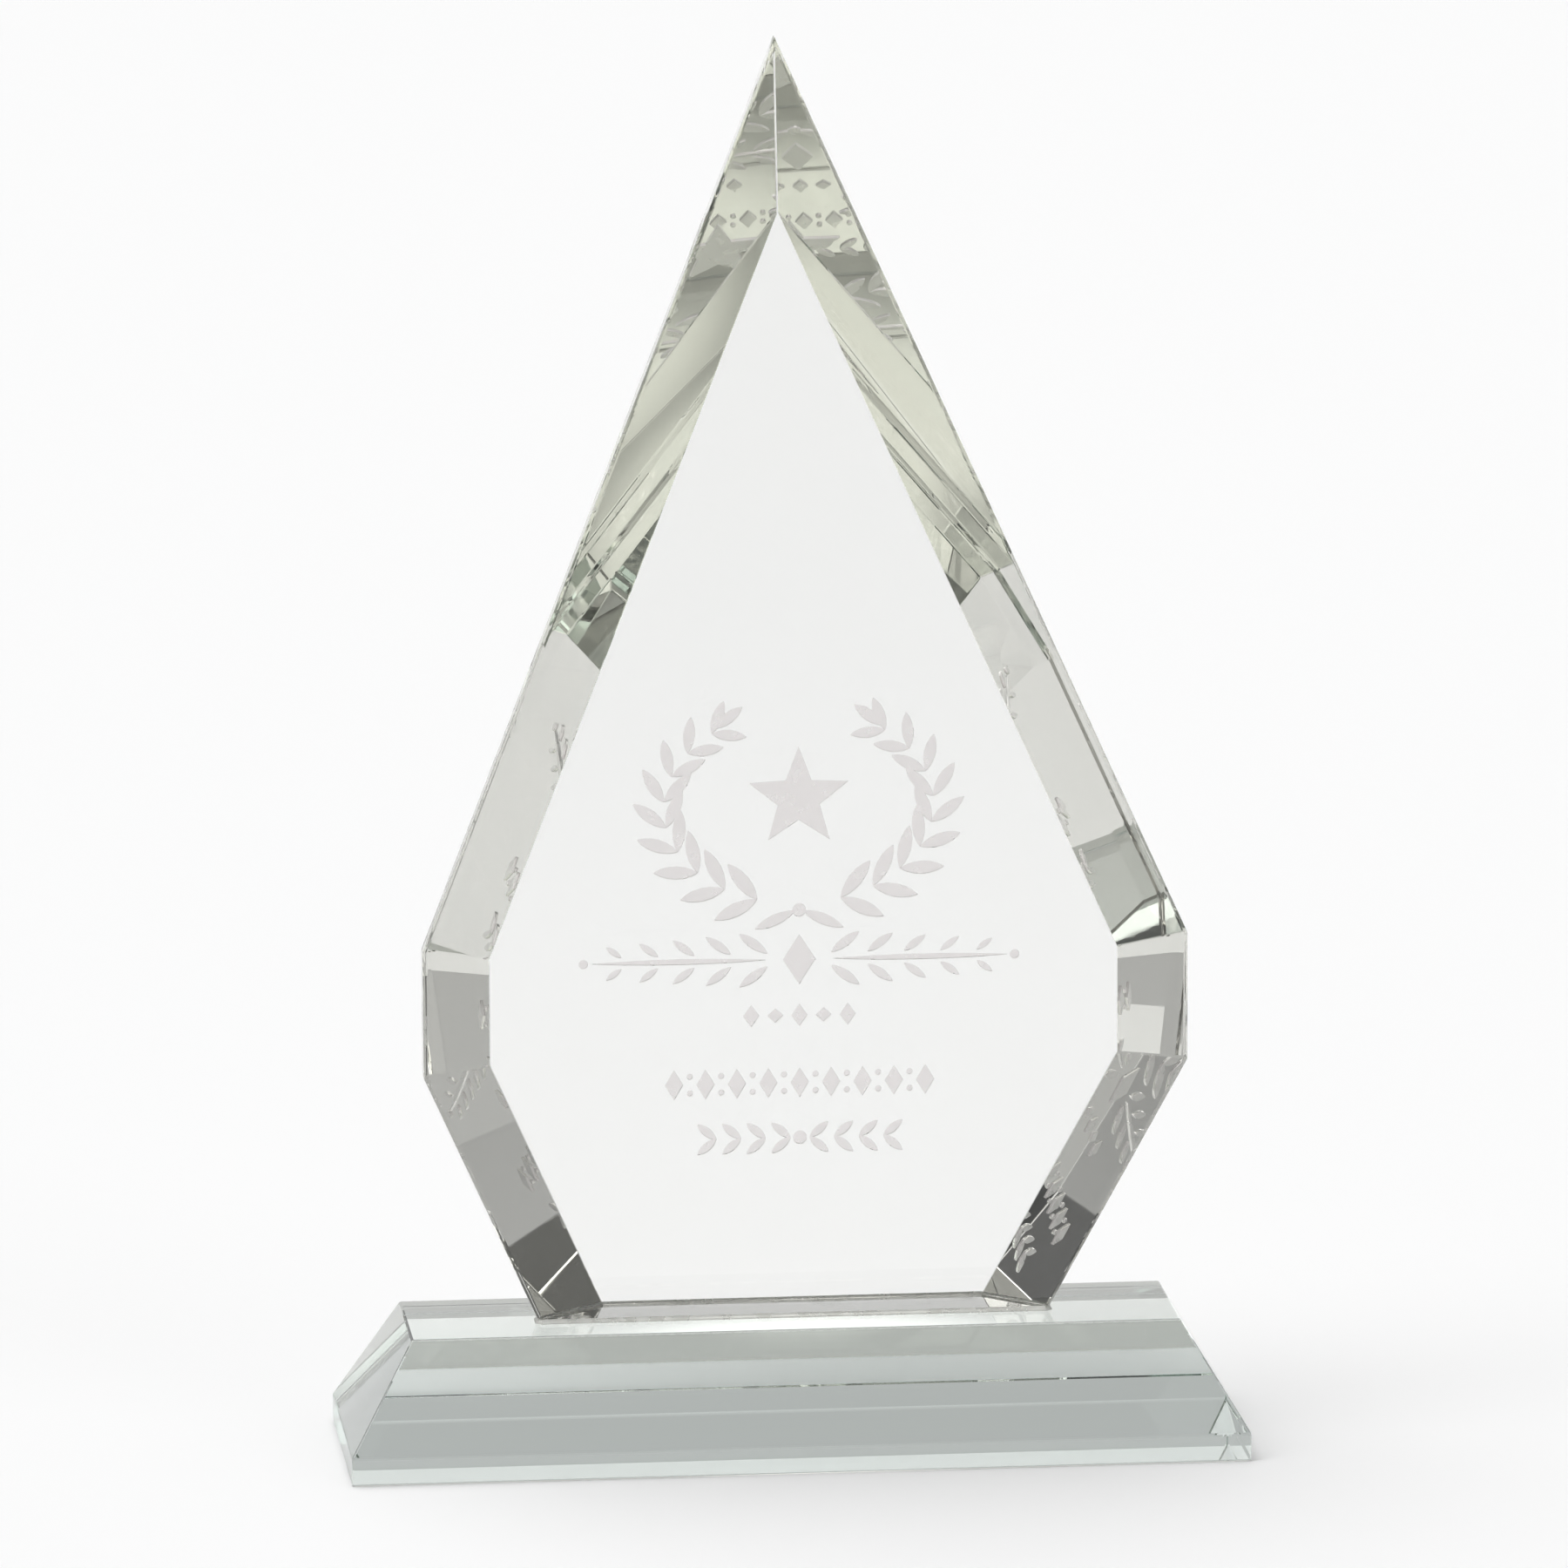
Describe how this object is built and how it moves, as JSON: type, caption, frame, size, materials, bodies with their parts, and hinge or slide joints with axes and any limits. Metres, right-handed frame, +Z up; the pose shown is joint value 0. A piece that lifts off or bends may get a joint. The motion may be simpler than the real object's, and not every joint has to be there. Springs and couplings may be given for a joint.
{
  "type": "crystal award",
  "caption": "Clear crystal award: an arrowhead plaque, bevelled round its back and frosted on its front, bonded upright on a bevelled base block.",
  "frame": {"origin": "middle of the base block's underside, on the surface the award stands on", "axes": "+Z up along the plaque; the engraved front face looks towards -Y; +X to the right of someone who reads it"},
  "size_m": [0.16, 0.0494, 0.2535],
  "materials": {
    "plaque_crystal": "polished clear optical crystal with a frosted engraving on the front face",
    "base_crystal": "polished clear optical crystal",
    "clear_adhesive": "clear cured adhesive, slightly milky where it has squeezed out"
  },
  "bodies": {
    "root": {"plaque": "plaque_crystal", "base_block": "base_crystal", "adhesive_film": "clear_adhesive"}
  },
  "joints": []
}
